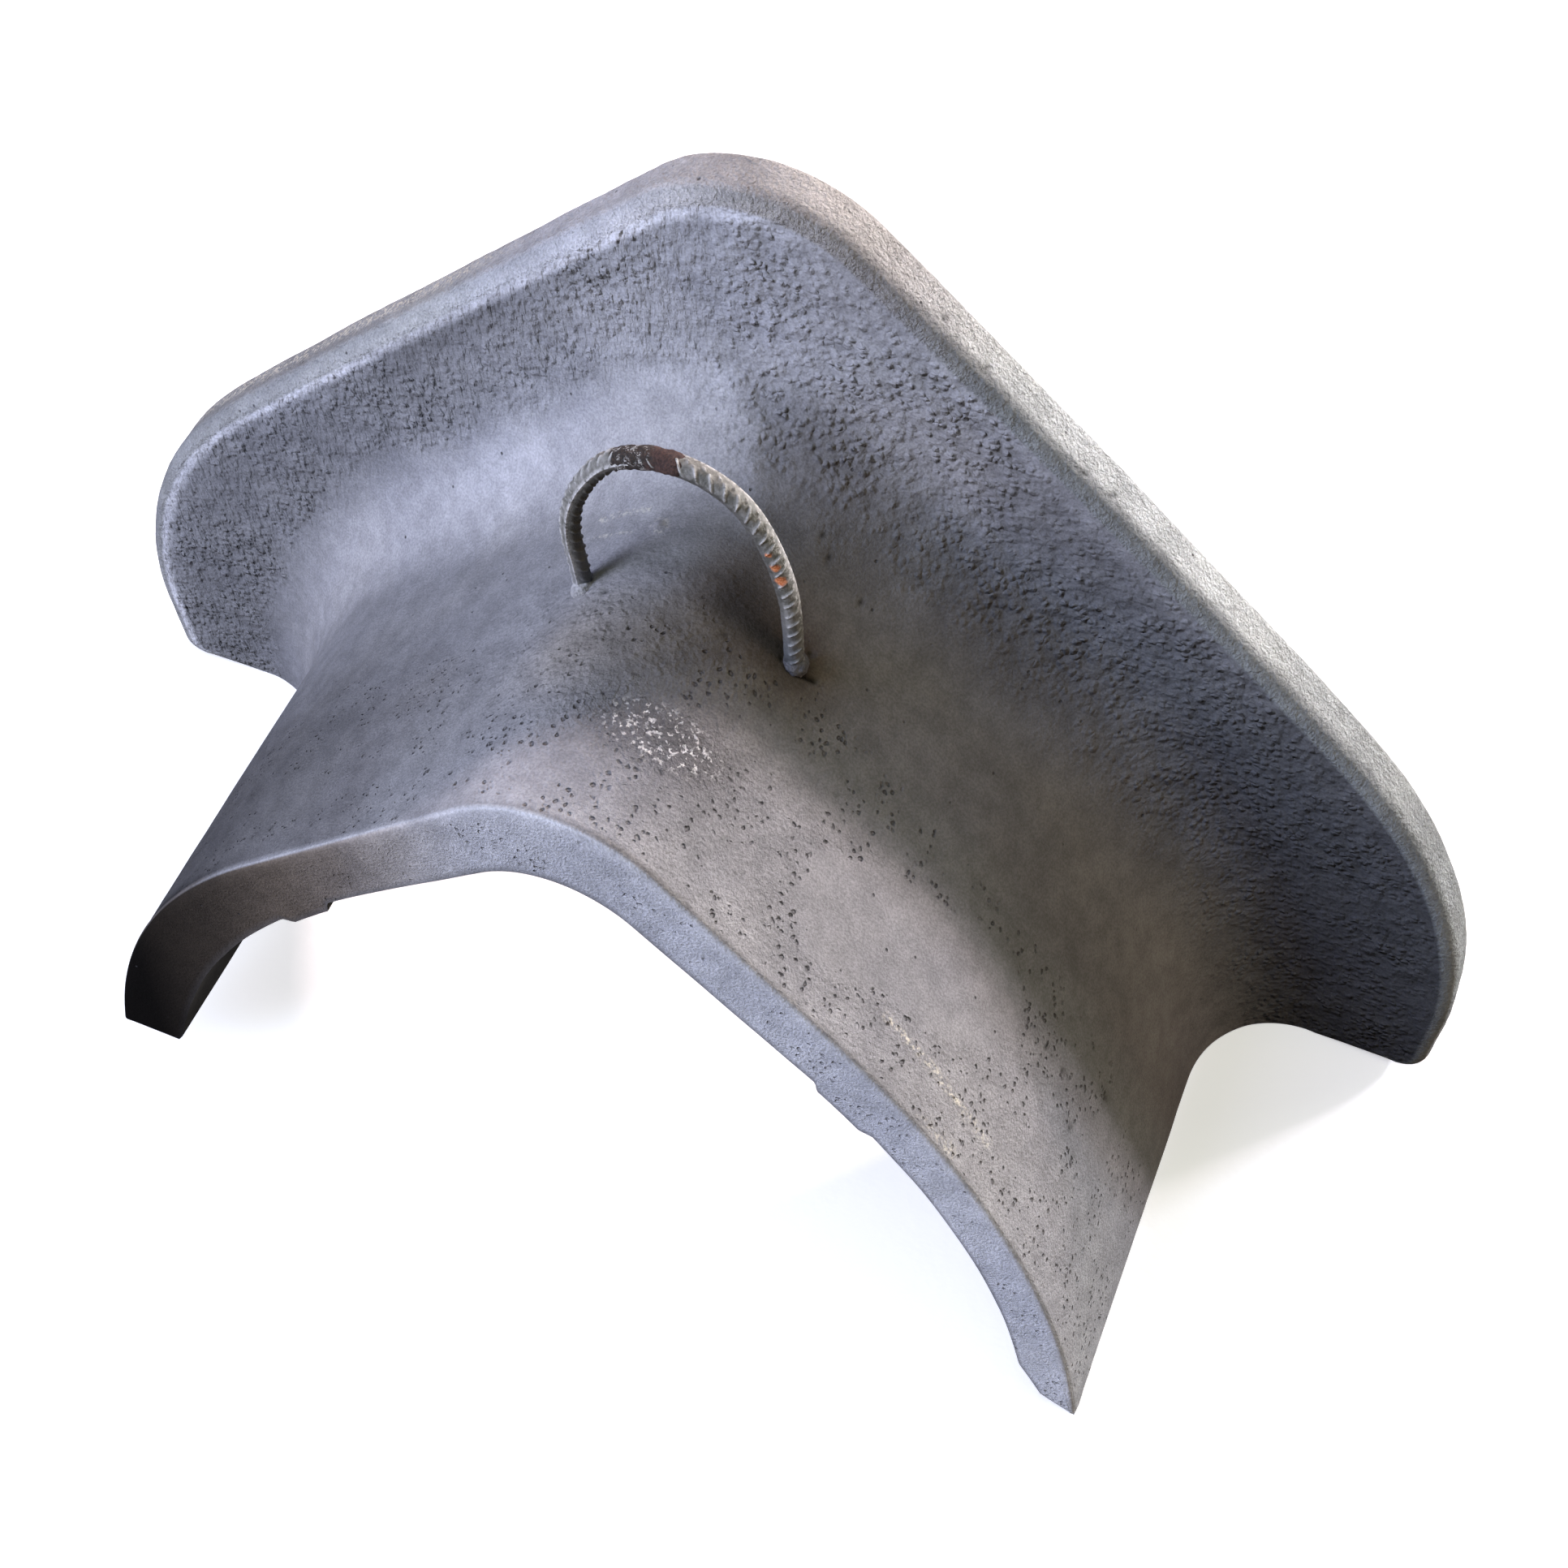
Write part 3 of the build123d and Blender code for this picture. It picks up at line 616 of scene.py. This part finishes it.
def tube(name, centres, outs, radii, count):
    """A closed tube with radii[i, k] at station i and angle k."""
    p = rings(centres, outs, radii[..., None], round_angles(count))
    n = len(centres)
    index = np.arange(n * count).reshape(n, count)
    a, b = index[:-1], index[1:]
    quads = np.stack([a, np.roll(a, -1, 1), np.roll(b, -1, 1), b], -1).reshape(-1, 4)
    faces = quads.tolist() + [index[0, ::-1].tolist(), index[-1].tolist()]
    return mesh_from(name, p, faces), p


RIB_PITCH, RIB_SLANT, RIB_STAGGER = 7.6, 3.4, 2.0


def bar(name, side, last, seam, chips=()):
    """One ribbed bar of the loop; chips are rust spots as (distance up the bar, angle, size)."""
    d, centres, outs = loop_path(side, last)
    count = 32
    phi = round_angles(count)
    # crescent ribs on two faces, a lengthwise rib on each seam between them
    face = (phi - math.radians(seam)) % math.pi - math.pi / 2
    s = d[:, None] - RIB_SLANT * face[None] + (phi[None] > math.pi) * RIB_STAGGER
    off = np.abs((s / RIB_PITCH) % 1 - 0.5) * RIB_PITCH
    rib = smooth(1.05, 0.3, off) * smooth(1.2, 0.8, np.abs(face))[None]
    line = np.exp(-((np.pi / 2 - np.abs(face)) / 0.16) ** 2)[None] * np.ones_like(s)
    radii = BAR_R - 0.2 + 0.85 * rib + 0.8 * line
    points = rings(centres, outs, BAR_R, phi)
    radii = radii + 0.10 * lattice(points, 4, 3) + 0.12 * lattice(points, 14, 4)
    mesh, p = tube(name, centres, outs, radii, count)
    rust = np.zeros_like(radii)
    for up_bar, angle, size in chips:
        da = (np.degrees(phi)[None] - angle + 180) % 360 - 180
        r = np.hypot(d[:, None] - up_bar, np.radians(da) * BAR_R)
        rust = np.maximum(rust, smooth(1.2, 0.75, r / size + 0.35 * lattice(p, 2.2, 8)))
    # painted shade on the bar's inner side, facing into the loop
    under = smooth(0.15, -0.75, np.cos(phi))[None] * np.ones_like(s)
    worn = np.clip(0.7 * rib + 1.3 * line, 0, 1)
    low = smooth(70, 30, d)[:, None] * np.ones_like(s)
    attribute(mesh, "bar_marks", worn, rust, under, low)
    return place(name, mesh, name, 60)


left_bar = bar("loop_bar_left", -1, -JOINT_ANGLE - 2, 92)
right_bar = bar(
    "loop_bar_right", 1, -JOINT_ANGLE + 2, 48, ((105, 282, 1.6), (96, 284, 2.7), (87, 288, 2.9)))


def lump():
    """The rough weld that joins the bars, red at the right and flecked at the left."""
    half = math.radians(JOINT_SPAN) * LOOP_TOP_R
    t = np.linspace(-1.0, 0.96, 84)
    a = np.radians(-JOINT_ANGLE) + t * half / LOOP_TOP_R
    outs = np.c_[np.sin(a), 0 * a, np.cos(a)]
    centres = np.array((LOOP_X, LOOP_Y, LOOP_Z)) + LOOP_TOP_R * outs
    count = 44
    ends = np.sqrt(np.clip(1 - (np.abs(t) / 1.01) ** 7, 0, 1))
    radii = np.repeat((3.6 + 2.1 * ends)[:, None], count, 1)
    p = rings(centres, outs, 6, round_angles(count))
    rough = 0.55 * lattice(p, 6, 21) + 0.42 * lattice(p, 3, 22) + 0.25 * lattice(p, 1.6, 23)
    mesh, p = tube("joint_weld", centres, outs, radii + rough * (0.3 + 0.7 * ends[:, None]), count)
    red = smooth(0.0, 0.35, t[:, None] + 0.3 * lattice(p, 5, 24))
    fleck = smooth(0.0, 0.35, lattice(p, 3.2, 25)) * smooth(0.35, -0.1, t)[:, None]
    attribute(mesh, "weld_marks", red, fleck, 0 * red, 0 * red + 1)
    return place("joint_weld", mesh, "joint_weld", 70)


joint = lump()


def bead(name, centre, size, slant, seed):
    """A lumpy closed bead; `size` is its half axes along x, y and z, turned by `slant` degrees."""
    levels, count = 26, 40
    u = np.linspace(0.03, math.pi - 0.03, levels)[:, None]
    v = round_angles(count)[None]
    p = np.stack([np.sin(u) * np.cos(v), np.sin(u) * np.sin(v), np.cos(u) + 0 * v], -1)
    q = p * np.array(size)
    grow = 1 + 0.10 * lattice(q, 4.5, seed) + 0.06 * lattice(q, 2.2, seed + 1)
    q = q * grow[..., None]
    c, s = math.cos(math.radians(slant)), math.sin(math.radians(slant))
    q = np.stack([q[..., 0] * c + q[..., 2] * s, q[..., 1], q[..., 2] * c - q[..., 0] * s], -1)
    q = q + np.array(centre)
    index = np.arange(levels * count).reshape(levels, count)
    a, b = index[:-1], index[1:]
    quads = np.stack([a, b, np.roll(b, -1, 1), np.roll(a, -1, 1)], -1).reshape(-1, 4)
    faces = quads.tolist() + [index[0].tolist(), index[-1, ::-1].tolist()]
    return place(name, mesh_from(name, q, faces), name, 70)


BEAD = (7.2, 7.2, 6.8)
left_foot = bead("left_foot_weld", (-50.8, 27.0, 370.6), BEAD, -40, 31)
right_foot = bead("right_foot_weld", (65.0, 30.0, 362.0), BEAD, 40, 41)


# ---- materials --------------------------------------------------------------------------
class Shader:
    """Short calls for building one material's nodes."""

    def __init__(self, name):
        self.material = bpy.data.materials.new(name)
        self.material.use_nodes = True
        self.tree = self.material.node_tree
        self.surface = self.tree.nodes["Principled BSDF"]
        self.place = self.new("ShaderNodeTexCoord").outputs["Object"]

    def new(self, kind, **props):
        node = self.tree.nodes.new(kind)
        for key, value in props.items():
            setattr(node, key, value)
        return node

    def put(self, socket, value):
        if isinstance(value, bpy.types.NodeSocket):
            self.tree.links.new(value, socket)
        elif isinstance(value, tuple) and len(value) == 3 and socket.type == "RGBA":
            socket.default_value = (*value, 1)
        else:
            socket.default_value = value

    def noise(self, scale, detail=2.0, rough=0.5, stretch=None):
        node = self.new("ShaderNodeTexNoise")
        where = self.place
        if stretch:
            mapping = self.new("ShaderNodeMapping")
            mapping.inputs["Scale"].default_value = stretch
            self.put(mapping.inputs["Vector"], self.place)
            where = mapping.outputs[0]
        self.put(node.inputs["Vector"], where)
        for name, value in (("Scale", scale), ("Detail", detail), ("Roughness", rough)):
            node.inputs[name].default_value = value
        return node.outputs[0]

    def cells(self, scale, where=None):
        node = self.new("ShaderNodeTexVoronoi")
        self.put(node.inputs["Vector"], where or self.place)
        node.inputs["Scale"].default_value = scale
        return node.outputs["Distance"], node.outputs["Color"]

    def math(self, op, a, b):
        node = self.new("ShaderNodeMath", operation=op)
        self.put(node.inputs[0], a)
        self.put(node.inputs[1], b)
        return node.outputs[0]

    def times(self, first, *others):
        """The product of two or more values."""
        for other in others:
            first = self.math("MULTIPLY", first, other)
        return first

    def scaled(self, colour, mask, low, high):
        """The colour times `low` to `high`, as the mask goes from 0 to 1."""
        return self.mix(1.0, colour, self.mix(mask, (low,) * 3, (high,) * 3), "MULTIPLY")

    def span(self, value, a, b, low=0.0, high=1.0):
        """value from a..b to low..high, smoothly and clamped."""
        node = self.new("ShaderNodeMapRange", interpolation_type="SMOOTHSTEP")
        names = ("Value", "From Min", "From Max", "To Min", "To Max")
        for name, v in zip(names, (value, a, b, low, high)):
            self.put(node.inputs[name], v)
        return node.outputs[0]

    def mix(self, factor, a, b, blend="MIX"):
        node = self.new("ShaderNodeMix", data_type="RGBA", blend_type=blend)
        self.put(node.inputs[0], factor)
        self.put(node.inputs[6], a)
        self.put(node.inputs[7], b)
        return node.outputs[2]

    def masks(self, name):
        """The four channels of a colour attribute."""
        node = self.new("ShaderNodeAttribute", attribute_name=name)
        split = self.new("ShaderNodeSeparateColor")
        self.put(split.inputs[0], node.outputs["Color"])
        return (*split.outputs[:3], node.outputs["Alpha"])

    def bump(self, height, distance, normal=None):
        """Relief of `distance` metres where the height is 1, on top of the normal given."""
        node = self.new("ShaderNodeBump")
        self.put(node.inputs["Height"], height)
        node.inputs["Distance"].default_value = distance
        node.inputs["Strength"].default_value = 1.0
        if normal:
            self.put(node.inputs["Normal"], normal)
        return node.outputs[0]

    def finish(self, colour, rough, normal, metallic=None):
        self.put(self.surface.inputs["Base Color"], colour)
        self.put(self.surface.inputs["Roughness"], rough)
        self.put(self.surface.inputs["Normal"], normal)
        if metallic is not None:
            self.put(self.surface.inputs["Metallic"], metallic)
        return self.material


def cast_primer():
    m = Shader("cast_primer")
    pebble, drag, pits, rim = m.masks("zones")
    dark, pale, spark, grain = m.masks("marks")
    tint = m.new("ShaderNodeAttribute", attribute_name="tint").outputs["Color"]
    broad = m.noise(8, 3, 0.6)
    middle = m.noise(75, 4, 0.6)
    fine = m.noise(700, 3, 0.65)
    colour = m.mix(m.span(broad, 0.35, 0.65), (0.225, 0.226, 0.233), (0.258, 0.257, 0.258))
    # the tint attribute multiplies in the painted light and shade and its colour casts
    colour = m.mix(1.0, colour, tint, "MULTIPLY")
    colour = m.scaled(colour, m.span(middle, 0.3, 0.7), 0.86, 1.1)
    colour = m.scaled(colour, m.span(fine, 0.3, 0.7), 0.82, 1.16)
    # small pinholes, everywhere but sparse, with painted shade in them
    hole_d, hole_c = m.cells(150)
    hole = m.times(m.span(hole_d, 0.17, 0.07), m.span(hole_c, 0.80, 0.86))
    colour = m.mix(m.times(hole, 0.8), colour, (0.06, 0.06, 0.06))
    # casting pits, mostly near the saddle's near edge, in cells bent by a fine noise, with painted shade in
    # them
    bend = m.new("ShaderNodeTexNoise")
    m.put(bend.inputs["Vector"], m.place)
    bend.inputs["Scale"].default_value = 160
    warped = m.new("ShaderNodeVectorMath", operation="MULTIPLY_ADD")
    m.put(warped.inputs[0], bend.outputs["Color"])
    warped.inputs[1].default_value = (0.004, 0.004, 0.004)
    m.put(warped.inputs[2], m.place)
    pit_d, pit_c = m.cells(250, warped.outputs[0])
    clustered = m.times(pits, m.span(m.noise(34, 3), 0.44, 0.58))
    pit = m.times(m.span(pit_d, 0.38, 0.14), m.span(pit_c, 0.43, 0.51), m.span(clustered, 0.05, 0.5))
    colour = m.mix(m.times(pit, 0.5), colour, (0.07, 0.066, 0.062))
    # worn and bare places, and the painted highlight ring round the bump
    flake = m.span(m.noise(420, 4, 0.7), 0.47, 0.60)
    colour = m.mix(m.times(pale, flake), colour, (0.68, 0.64, 0.53))
    glint = m.times(
        m.span(m.cells(480)[1], 0.52, 0.62), m.span(m.noise(330, 3, 0.7), 0.46, 0.58),
        m.span(spark, 0.25, 0.8))
    colour = m.mix(glint, colour, (0.72, 0.71, 0.68))
    # painted shade in the cracks and pits
    colour = m.mix(dark, colour, (0.012, 0.011, 0.010))
    rough = m.span(middle, 0.3, 0.7, 0.60, 0.82)
    level = m.new("ShaderNodeSeparateColor")
    m.put(level.inputs[0], tint)
    rough = m.math("ADD", rough, m.span(level.outputs[0], 0.4, 0.05, 0.0, 0.18))
    rough = m.math("SUBTRACT", rough, m.times(glint, 0.30))
    # surface relief, coarse to fine: lumps, rounded knobs, ripples, drag marks, crumpled skin
    lumps = m.math("SUBTRACT", m.noise(75, 2, 0.5), 0.5)
    knob_d, knob_c = m.cells(215, warped.outputs[0])
    knobs = m.times(
        m.span(knob_d, 0.66, 0.0), m.span(knob_c, 0.0, 0.62, 0.15, 1.0),
        m.span(m.noise(26, 2), 0.32, 0.6, 0.35, 1.0))
    ripple = m.math("SUBTRACT", m.noise(170, 2, 0.5), 0.5)
    drags = m.math("SUBTRACT", m.noise(1, 3, 0.55, (300, 300, 95)), 0.5)
    crumple = m.math("SUBTRACT", m.noise(360, 4, 0.65), 0.5)
    rough_here = m.math("ADD", m.math("ADD", m.times(rim, 1.7), m.times(pits, 0.18)), 0.03)
    n = m.bump(m.times(lumps, m.math("ADD", pebble, 0.06)), 0.0052)
    n = m.bump(m.times(knobs, pebble), 0.0026, n)
    n = m.bump(m.times(ripple, pebble), 0.0019, n)
    n = m.bump(m.times(drags, drag), 0.0022, n)
    n = m.bump(m.times(crumple, rough_here), 0.0058, n)
    n = m.bump(pit, -0.0028, n)
    n = m.bump(hole, -0.0010, n)
    n = m.bump(m.times(crumple, spark), 0.005, n)
    n = m.bump(m.times(fine, m.math("ADD", grain, 0.7)), 0.0007, n)
    m.surface.inputs["Specular IOR Level"].default_value = 0.08
    return m.finish(colour, rough, n, m.times(glint, 0.6))


def bar_paint():
    m = Shader("bar_paint")
    worn, rust, under, low = m.masks("bar_marks")
    middle = m.noise(260, 4, 0.65)
    colour = m.mix(m.span(middle, 0.35, 0.65), (0.115, 0.115, 0.095), (0.26, 0.255, 0.23))
    rubbed = m.times(worn, m.span(m.noise(500, 3), 0.3, 0.6))
    colour = m.mix(rubbed, colour, (0.66, 0.65, 0.62))
    # painted shade on the bar's inner side, facing into the loop
    colour = m.mix(m.times(under, 0.88), colour, (0.03, 0.028, 0.018))
    colour = m.mix(m.times(low, 0.35), colour, (0.19, 0.20, 0.225))
    orange = m.mix(m.span(m.noise(900, 3), 0.35, 0.65), (0.50, 0.13, 0.035), (0.80, 0.33, 0.14))
    colour = m.mix(rust, colour, orange)
    n = m.bump(middle, 0.0008)
    n = m.bump(m.noise(1400, 3, 0.7), 0.0003, n)
    return m.finish(colour, m.span(middle, 0.3, 0.7, 0.45, 0.75), n)


def weld_rust():
    m = Shader("weld_rust")
    red, fleck, _, _ = m.masks("weld_marks")
    grain = m.noise(900, 4, 0.7)
    black = m.mix(m.span(grain, 0.4, 0.65), (0.018, 0.014, 0.011), (0.085, 0.06, 0.042))
    rusty = m.mix(m.span(grain, 0.35, 0.65), (0.040, 0.018, 0.013), (0.125, 0.068, 0.052))
    colour = m.mix(red, black, rusty)
    white = m.times(fleck, m.span(m.noise(1100, 3, 0.7), 0.50, 0.58))
    colour = m.mix(white, colour, (0.62, 0.60, 0.55))
    n = m.bump(m.noise(420, 5, 0.7), 0.0020)
    n = m.bump(grain, 0.0008, n)
    return m.finish(colour, m.span(grain, 0.3, 0.7, 0.55, 0.95), n)


def foot_metal(name, low, high):
    m = Shader(name)
    grain = m.noise(420, 4, 0.65)
    colour = m.mix(m.span(grain, 0.35, 0.65), low, high)
    n = m.bump(m.noise(260, 3, 0.6), 0.0022)
    n = m.bump(m.noise(1300, 3, 0.7), 0.0004, n)
    return m.finish(colour, m.span(grain, 0.3, 0.7, 0.45, 0.8), n)


skin.materials.append(cast_primer())
paint = bar_paint()
left_bar.data.materials.append(paint)
right_bar.data.materials.append(paint)
joint.data.materials.append(weld_rust())
left_foot.data.materials.append(foot_metal("pale_bead", (0.27, 0.27, 0.27), (0.42, 0.42, 0.42)))
right_foot.data.materials.append(foot_metal("grey_bead", (0.11, 0.11, 0.115), (0.20, 0.20, 0.21)))


# ---- stage ------------------------------------------------------------------------------
# a pale floor with four pale walls round it, 6 m away
ROOM = 6
floor_mesh = bpy.data.meshes.new("floor")
corners = ((-ROOM, -ROOM), (ROOM, -ROOM), (ROOM, ROOM), (-ROOM, ROOM))
floor_mesh.from_pydata(
    [(x, y, 0) for x, y in corners] + [(x, y, ROOM) for x, y in corners], [],
    [(0, 1, 2, 3), (1, 0, 4, 5), (2, 1, 5, 6), (3, 2, 6, 7), (0, 3, 7, 4)])
floor = bpy.data.objects.new("floor", floor_mesh)
floor.location.z = -0.001
bpy.context.scene.collection.objects.link(floor)
floor.visible_diffuse = False
floor.visible_glossy = False
ground = Shader("pale_floor")
paper = ground.mix(ground.span(ground.noise(3, 3), 0.3, 0.7), (0.83, 0.83, 0.83), (0.87, 0.87, 0.87))
ground.finish(paper, 0.9, ground.bump(ground.noise(120, 2), 0.0002))
ground.surface.inputs["Emission Color"].default_value = (1, 1, 1, 1)
ground.surface.inputs["Emission Strength"].default_value = 0.5
floor_mesh.materials.append(ground.material)

world = bpy.data.worlds.new("studio")
bpy.context.scene.world = world
world.use_nodes = True
sky = world.node_tree.nodes["Background"]
sky.inputs["Color"].default_value = (1, 1, 1, 1)
sky.inputs["Strength"].default_value = 0.02

TARGET = Vector((0.03, -0.02, 0.3))
LAMP_DISTANCE = 3.0
LAMP_GAIN = 1.7


def lamp(name, towards, radius, colour):
    """A round lamp in the direction `towards`; colour carries its relative power."""
    data = bpy.data.lights.new(name, "AREA")
    data.shape = "DISK"
    data.size = 2 * radius
    power = max(colour)
    data.energy = LAMP_GAIN * power
    data.color = [c / power for c in colour]
    obj = bpy.data.objects.new(name, data)
    bpy.context.scene.collection.objects.link(obj)
    d = Vector(towards).normalized()
    obj.location = TARGET + d * LAMP_DISTANCE
    obj.rotation_euler = (-d).to_track_quat("-Z", "Y").to_euler()
    obj.visible_camera = False
    return obj


LAMPS = (                                   # (name, direction, radius, colour)
    ("far_right_low", (0.704, 0.704, 0.087), 0.7, (23.9, 25.9, 21.2)),
    ("right_low", (0.996, 0.000, 0.087), 0.7, (11.6, 8.9, 7.0)),
    ("near_left_low", (-0.704, -0.704, 0.087), 0.7, (24.1, 22.1, 24.6)),
    ("near_left", (-0.641, -0.641, 0.423), 0.7, (21.3, 25.5, 34.4)),
    ("left_high", (-0.557, -0.321, 0.766), 0.7, (13.8, 14.6, 24.3)),
    ("overhead", (0.000, -0.174, 0.985), 0.7, (9.9, 10.0, 6.8)),
    ("sun_right", (0.731, 0.668, 0.136), 0.1, (30.2, 27.1, 30.1)),
    ("sun_back", (0.160, 0.758, 0.632), 0.1, (46.4, 37.5, 37.3)),
    ("sun_right_low", (0.690, 0.712, 0.129), 0.1, (22.7, 24.7, 30.1)),
)
for lamp_name, towards, radius, colour in LAMPS:
    made = lamp(lamp_name, towards, radius, colour)
    if lamp_name == "sun_back":             # the photo shows no shadow of the loop from behind
        blockers = bpy.data.collections.new("blockers")
        blockers.objects.link(body)
        made.light_linking.blocker_collection = blockers

# the photo's viewing angle
camera = bpy.data.objects.new("camera", bpy.data.cameras.new("camera"))
bpy.context.scene.collection.objects.link(camera)
right = Vector((0.924549, 0.380524, -0.020266))
up = -Vector((0.312276, -0.787063, -0.531999))
back = -Vector((-0.218388, 0.485526, -0.846503))
turned = Matrix((right, up, back)).transposed().to_4x4()
camera.matrix_world = Matrix.Translation((0.314652, -0.544846, 1.244226)) @ turned
camera.data.sensor_width = 36
camera.data.lens = 49.059
bpy.context.scene.camera = camera
bpy.context.scene.view_settings.view_transform = "Standard"
